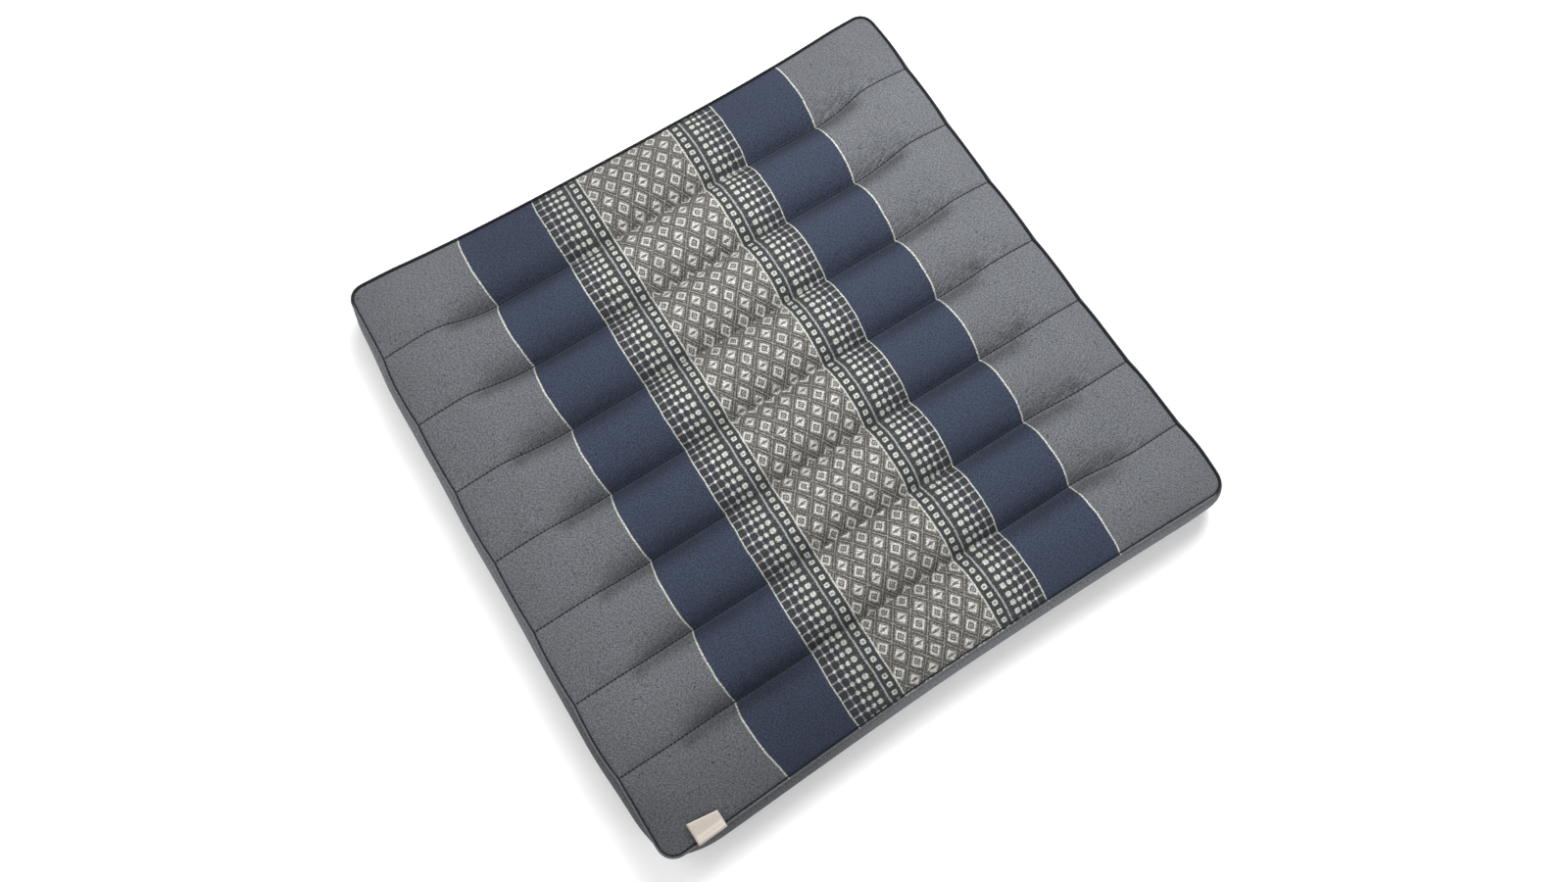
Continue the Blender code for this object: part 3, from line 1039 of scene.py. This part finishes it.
    # painted shade beside the seams and along the needle line darkens the woven colour
    afterPaintedShade = (1.0 - entry["Seam"]) * (1.0 - entry["NeedlePaintedShade"] * line)
    inBorder = below(out, navyFrom, 0.3) * (1.0 - inBand)
    raised = inBand * calc("MAXIMUM", figure, grit * 0.5) + inBorder * calc("MAXIMUM", beads, squares)
    return closeGroup(tree, {
        "Colour": mixColour(1.0, woven, greyOf(afterPaintedShade), "MULTIPLY"),
        "Raised": calc("MAXIMUM", raised, side),
    })


grainGroup = makeGrain()
stripeGroup = makeStripes()


def around(value, share):
    return spread(value, 0.0, 1.0, 1.0 - share, 1.0 + share)


def finishCloth(shader, base, cloth, raised, look):
    tree = cloth.tree
    grain = useGroup(tree, grainGroup, {"Cloth": cloth, "Pitch": twill["pitch"]})
    shade = spread(grain["Shade"], 0.0, 1.0, 1.0 - look["rib"], 1.0 + look["rib"] * 0.4)
    whole = shade * around(grain["Fleck"], look["fleck"]) * around(grain["Cloud"], look["cloud"])
    # the pleats' valleys are darkened: painted shade as well as bump
    pleat = (grain["Pleat"] - 0.5) * pointValue(tree, "pleatShare")
    # painted shade from the mesh darkens the cloth towards the near left and the far edge
    whole = whole * pointValue(tree, "paintedShade") * (pleat * look["pleat"] + 1.0)
    dyes = [dye * (4 * look["hue"]) + (1.0 - 2 * look["hue"]) for dye in parted(grain["Dyes"], "Color")]
    dyed = addNode(tree, "CombineColor", {i: whole * dye for i, dye in enumerate(dyes)})
    height = grain["Height"] + raised * look["raised"] + pleat * 2.0
    finishShader(shader, mixColour(1.0, base, dyed, "MULTIPLY"), height, look["bump"], look["depth"])


topLook = {
    "rib": 0.14,
    "fleck": 0.36,
    "hue": 0.03,
    # how dark the pleats' valleys are painted
    "pleat": 0.55,
    "cloud": 0.035,
    "raised": 1.4,
    "bump": 0.6,
    "depth": 0.00018,
}
sideLook = dict(topLook, raised=0.0)
boxing = {"colour": "#6b6d71"}
# painted shade at the hem's feet and over the far and right hems
hemShadeLook = {
    "colour": "#17181b",
    "rightFrom": 0.2360,
    "farFrom": 0.2340,
    "ragged": (420.0, 1.5, -0.62),
    "feet": ((1.0, 0.95), (6.0, 0.25), (lastRing - 6.0, 0.25), (lastRing - 1.0, 0.7)),   # ring, darkness of the painted shade
    "farDark": 0.8,
}
edgeThread = {
    "pitch": 0.0013,
    "thick": 0.00042,
    "colour": "#77797d",
    # darker thread with painted shade, along the inner foot and on the far and right edges
    "darkColour": "#1d1e21",
}
quiltThread = {
    "pitch": 0.0031,
    "length": 0.0021,
    "start": 0.004,
    "thick": 0.00050,
    "sunk": 0.9,             # and how deep they lie in the woven band, in thicknesses
    "colour": "#1c1d21",
    "gapDark": 0.45,         # how dark the needle line's painted shade is between the stitches
}


def farSides(tree):
    # 1 at the far and right edges, whose hem gets painted shade and darker thread
    x, y = parted(onPiece(tree))[:2]
    onRight = 1.0 - below(x, hemShadeLook["rightFrom"], 0.002)
    return calc("MAXIMUM", onRight, 1.0 - below(y, hemShadeLook["farFrom"], 0.002))


def paintedHemShade(tree, base):
    # painted shade where the overcast hem meets the panel and the boxing, and over the hem on the far and
    # right edges
    ring = pointValue(tree, "ring")
    scale, height, drop = hemShadeLook["ragged"]
    ragged = noiseOf(onPiece(tree), scale, 2.0, 0.7) * height + drop
    feet = 0.0
    for foot, share in hemShadeLook["feet"]:
        feet = calc("MAXIMUM", feet, below(abs(ring - foot) + ragged, 0.85, 0.15) * share)
    hem = below(ring, 5.5, 0.3) * (1.0 - below(ring, 0.3, 0.2)) * farSides(tree) * hemShadeLook["farDark"]
    return mixColour(calc("MAXIMUM", feet, hem), base, colourOf(hemShadeLook["colour"]))


def makeTopCloth():
    material, tree, shader = newMaterial("wovenTopCloth", 0.92)
    cloth = clothInMm(tree, "clothMap")
    pitch, stitch, start = [quiltThread[name] / mm for name in ("pitch", "length", "start")]
    # painted shade along the needle line, strongest under the stitches
    gap = abs(folded(pointValue(tree, "seamRun"), pitch, start + stitch / 2))
    dash = below(gap, stitch / 2, 0.35) * (1.0 - quiltThread["gapDark"]) + quiltThread["gapDark"]
    needleShade = (1.0 - below(pointValue(tree, "needleLine"), 0.57, 0.12)) * dash
    seam = pointValue(tree, "seamShade")
    woven = useGroup(tree, stripeGroup, {"Cloth": cloth, "Seam": seam, "NeedlePaintedShade": needleShade})
    finishCloth(shader, paintedHemShade(tree, woven["Colour"]), cloth, woven["Raised"], topLook)
    return material


def makeSideCloth():
    material, tree, shader = newMaterial("greyBoxingCloth", 0.92)
    base = paintedHemShade(tree, colourOf(boxing["colour"]))
    finishCloth(shader, base, clothInMm(tree, "clothMap"), 0.0, sideLook)
    return material


def makeThread(name, hexText, overcast=False):
    # spun thread, with painted shade where its plies meet. An overcast one is darker along the inner foot and
    # on the far and right edges, partly dark thread and partly painted shade
    material, tree, shader = newMaterial(name, 0.75)
    ply = noiseOf(onPiece(tree), 2600.0, 2.0, 0.6)
    lit = colourOf(hexText)
    colour = mixColour(ply, tuple(part * 0.55 for part in lit[:3]) + (1.0,), lit)
    if overcast:
        dark = calc("MAXIMUM", below(pointValue(tree, "ring"), 3.4, 0.5), farSides(tree))
        colour = mixColour(dark, colour, colourOf(edgeThread["darkColour"]))
    finishShader(shader, colour, ply, 0.5, 0.0001)
    return material


coverMesh = makeCover()

coverMesh.materials.append(makeTopCloth())
coverMesh.materials.append(makeSideCloth())
cushionCover = addObject("cushionCover", coverMesh)
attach(cushionCover, "root")
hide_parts("cushion")
print("cover made,", len(coverMesh.polygons), "faces")


# Sewing thread

coverTree = BVHTree.FromPolygons(
    [vert.co.copy() for vert in coverMesh.vertices], [list(face.vertices) for face in coverMesh.polygons])


def tubeRow(count, rings, sides):
    # many equal tubes; their number, ring and turn are kept for placing them
    bm = bmesh.new()
    number = bm.verts.layers.float.new("number")
    ring = bm.verts.layers.float.new("ring")
    turn = bm.verts.layers.float.new("turn")
    bmesh.ops.create_circle(bm, cap_ends=True, segments=sides, radius=1.0)
    for vert in bm.verts:
        vert[turn] = math.atan2(vert.co.y, vert.co.x)
    edges = bm.edges[:]
    for step in range(1, rings):
        grown = bmesh.ops.extrude_edge_only(bm, edges=edges)
        edges = [item for item in grown["geom"] if isinstance(item, bmesh.types.BMEdge)]
        for vert in vertsOf(grown):
            vert[ring] = step
            vert.co.z = step
    bmesh.ops.holes_fill(bm, edges=edges, sides=sides)
    bmesh.ops.recalc_face_normals(bm, faces=bm.faces[:])
    made = 1
    while made < count:
        copied = bmesh.ops.duplicate(bm, geom=bm.verts[:] + bm.edges[:] + bm.faces[:])
        for vert in vertsOf(copied):
            vert[number] += made
        made *= 2
    bmesh.ops.delete(bm, geom=[vert for vert in bm.verts if vert[number] >= count], context="VERTS")
    return meshFrom(bm, "threads")


def layThread(name, paths, ups, thick, material, sides=5):
    # paths is stitch by ring by xyz; ups is the way out of the cloth at each point
    count, rings = paths.shape[:2]
    mesh = tubeRow(count, rings, sides)
    number, ring, turn = [readAttribute(mesh, layer, 1) for layer in ("number", "ring", "turn")]
    here = (number.astype(int), ring.astype(int))
    along = np.gradient(paths, axis=1)
    along = along / np.maximum(np.linalg.norm(along, axis=2, keepdims=True), 1e-9)
    side = np.cross(along, ups)
    side = side / np.maximum(np.linalg.norm(side, axis=2, keepdims=True), 1e-9)
    up = np.cross(side, along)
    outward = np.cos(turn)[:, None] * side[here] + np.sin(turn)[:, None] * up[here]
    writePoints(mesh, paths[here] + thick / 2 * outward)
    mesh.materials.append(material)
    mesh.shade_smooth()
    piece = addObject(name, mesh)
    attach(piece, "root")
    print(name, "laid,", len(mesh.polygons), "faces")


def onCloth(places):
    # the nearest places on the cover's surface, and the way out of it there
    found = np.zeros((places.size // 3, 6))
    for i, place in enumerate(places.reshape(-1, 3)):
        spot, normal, face, gap = coverTree.find_nearest(Vector(place))
        found[i, :3] = spot
        found[i, 3:] = normal
    return found[:, :3].reshape(places.shape), found[:, 3:].reshape(places.shape)


def rimPlaces():
    # u and v round the rim of a panel, at even steps of length
    step = np.linspace(-1.0, 1.0, 1201)[:-1]
    one = np.ones_like(step)
    u = np.concatenate([step, one, -step, -one])
    v = np.concatenate([-one, step, one, -step])
    line = coverPlace(u, v, np.full(u.shape, 3.0), False)
    run = np.concatenate([[0.0], np.cumsum(np.linalg.norm(np.diff(line, axis=0), axis=1))])
    count = int(run[-1] / edgeThread["pitch"])
    return u, v, run, count


def edgeStitches(name, under):
    # overcast stitches: along the inner foot, over the ridge, along the outer foot
    u, v, run, count = rimPlaces()
    start = (np.arange(count) + 0.5) * run[-1] / count
    pitch = run[-1] / count
    # step along the rim in stitches, ring, lift in thread thicknesses
    route = ((0.45, 0.0, 0.05), (0.95, 0.0, 0.3), (1.0, 1.2, 0.4), (1.08, 2.1, 0.4), (1.2, 3.0, 0.4),
             (1.32, 3.8, 0.4), (1.42, 4.8, 0.3), (1.5, 5.9, 0.25), (2.0, 5.9, 0.05))
    paths = []
    for step, ring, lift in route:
        spot = (start + (step - 0.7) * pitch) % run[-1]
        uHere = np.interp(spot, run, u[:len(run)])
        vHere = np.interp(spot, run, v[:len(run)])
        lower = math.floor(ring)
        here = [coverPlace(uHere, vHere, np.full(count, float(lastRing - r if under else r)), False)
                for r in (lower, lower + 1)]
        paths.append(here[0] + (here[1] - here[0]) * (ring - lower))
    paths = np.stack(paths, axis=1)
    spots, normals = onCloth(paths)
    lifts = np.array([lift for step, ring, lift in route]) * edgeThread["thick"]
    spots = spots + normals * lifts[None, :, None]
    layThread(name, spots, normals, edgeThread["thick"], edgeMaterial, 4)


def quiltStitches(name, under):
    # running stitches down each quilting seam, dipping into the cloth at both ends
    ring = np.full(801, float(lastRing if under else 0))
    paths = []
    for seam in range(1 - half, half):
        u = np.linspace(-1.0, 1.0, 801)
        line = coverPlace(u, np.full(801, seam / half), ring, False)
        run = np.concatenate([[0.0], np.cumsum(np.linalg.norm(np.diff(line, axis=0), axis=1))])
        starts = np.arange(quiltThread["start"], run[-1] - quiltThread["start"], quiltThread["pitch"])
        for share in (0.0, 0.22, 0.5, 0.78, 1.0):
            spot = starts + share * quiltThread["length"]
            paths.append(np.stack([np.interp(spot, run, line[:, axis]) for axis in range(3)], axis=1))
    sets = [np.stack(paths[i:i + 5], axis=1) for i in range(0, len(paths), 5)]
    paths = np.concatenate(sets, axis=0)
    ups = np.zeros_like(paths)
    ups[..., 2] = -1.0 if under else 1.0
    spots = paths.copy()
    fall = Vector((0.0, 0.0, 1.0 if under else -1.0))
    for place in spots.reshape(-1, 3):
        spot = coverTree.ray_cast(Vector((place[0], place[1], -0.05 if under else 0.1)), fall)[0]
        place[2] = spot.z
    lifts = np.array((-0.6, 0.1, 0.25, 0.1, -0.6)) * quiltThread["thick"]
    inBand = smoothStep((stripes["navyLine"][1] * mm - np.abs(spots[..., :1])) / 0.004)
    spots = spots - ups * inBand * quiltThread["sunk"] * quiltThread["thick"]
    layThread(name, spots + ups * lifts[None, :, None], ups, quiltThread["thick"], quiltMaterial)


edgeMaterial = makeThread("edgeThread", edgeThread["colour"], True)
quiltMaterial = makeThread("quiltThread", quiltThread["colour"])
edgeStitches("topEdgeStitches", False)
edgeStitches("bottomEdgeStitches", True)
quiltStitches("topQuiltStitches", False)
quiltStitches("bottomQuiltStitches", True)


# Label: a bare folded ribbon, caught in the front edge seam

label = {
    "middle": -0.2065,
    "wide": 0.0232,
    "long": 0.0151,
    "slant": 0.0042,      # how much longer its left side lies than its right
    "gap": 0.0009,
    "fold": 0.00045,      # radius of the fold
    "overhang": 0.0006,
    "lift": 0.0007,       # the folded end stands off the cloth
    "liftFrom": (0.006, 0.010),
    "thick": 0.00028,
    "hemRise": 0.0013,
    "hemEnd": (0.003, 0.004),
    "tuck": 0.0016,       # how deep the sewn end goes into the seam
    "threads": (0.32, 0.25),    # pitch of weft and warp, millimetres
    "selvedge": 10.7,           # its inner edge, millimetres from the middle
    "colour": "#b9b0a7",
}


def makeLabelCloth():
    material, tree, shader = newMaterial("labelCloth", 0.8)
    cloth = clothInMm(tree, "ribbonMap")
    x, y = parted(cloth)[:2]
    weft, warp = [calc("SINE", way * (2 * math.pi / pitch)) for way, pitch in zip((y, x), label["threads"])]
    height = (weft + warp * 0.5) * 0.33
    shade = (noiseOf(cloth, 0.25, 3.0, 0.6) * 0.10 + 0.93) * (noiseOf(cloth, 2.2, 2.0, 0.6) * 0.12 + 0.92)
    shade = shade * (height * 0.03 + 1.0) * (below(abs(x), label["selvedge"], 0.3) * 0.12 + 0.88)
    colour = mixColour(1.0, colourOf(label["colour"]), greyOf(shade), "MULTIPLY")
    finishShader(shader, colour, height, 0.5, 0.0001)
    return material


def makeLabel():
    bm = bmesh.new()
    bmesh.ops.create_grid(bm, x_segments=14, y_segments=60, size=0.5)
    uvLayer = bm.loops.layers.uv.new("ribbonMap")
    turn = math.pi * label["fold"]
    for face in bm.faces:
        for loop in face.loops:
            place = loop.vert.co
            loop[uvLayer].uv = (place.x * label["wide"], place.y * (2 * label["long"] + turn))
    for vert in bm.verts:
        x = label["middle"] + vert.co.x * label["wide"]
        reach = label["long"] - vert.co.x * label["slant"] - label["fold"]
        run = vert.co.y * (2 * reach + turn)
        if abs(run) < turn / 2:
            angle = run / label["fold"]
            fromFront = reach + label["fold"] * math.cos(angle)
            high = label["fold"] * (1.0 + math.sin(angle))
        else:
            fromFront = reach - (abs(run) - turn / 2)
            high = 2 * label["fold"] if run > 0 else 0.0
        front = -float(endReach(x, -1.0))
        y = fromFront + front - label["overhang"]
        onPanel = max(y, form["hemWidth"] + front)
        overHem = 1.0 - float(past(fromFront, *label["hemEnd"]))
        over = float(past(fromFront, *label["liftFrom"]))
        curl = label["lift"] * over * (1.0 + 0.5 * math.sin(vert.co.x * 3.0 + 0.8))
        sink = label["tuck"] * float(past(fromFront, label["tuck"], -label["tuck"]))
        lift = label["gap"] + label["hemRise"] * overHem + high + curl - sink
        base = float(topHeight(np.array(x), np.array(onPanel)))
        vert.co = (x - form["middle"][0], y - form["middle"][1], base + lift)
    mesh = meshFrom(bm, "labelTab")
    mesh.materials.append(makeLabelCloth())
    mesh.shade_smooth()
    piece = addObject("labelTab", mesh)
    wall = piece.modifiers.new("thickness", "SOLIDIFY")
    wall.thickness = label["thick"]
    wall.offset = 0.0
    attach(piece, "root")
    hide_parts("label")
    print("label made")


makeLabel()
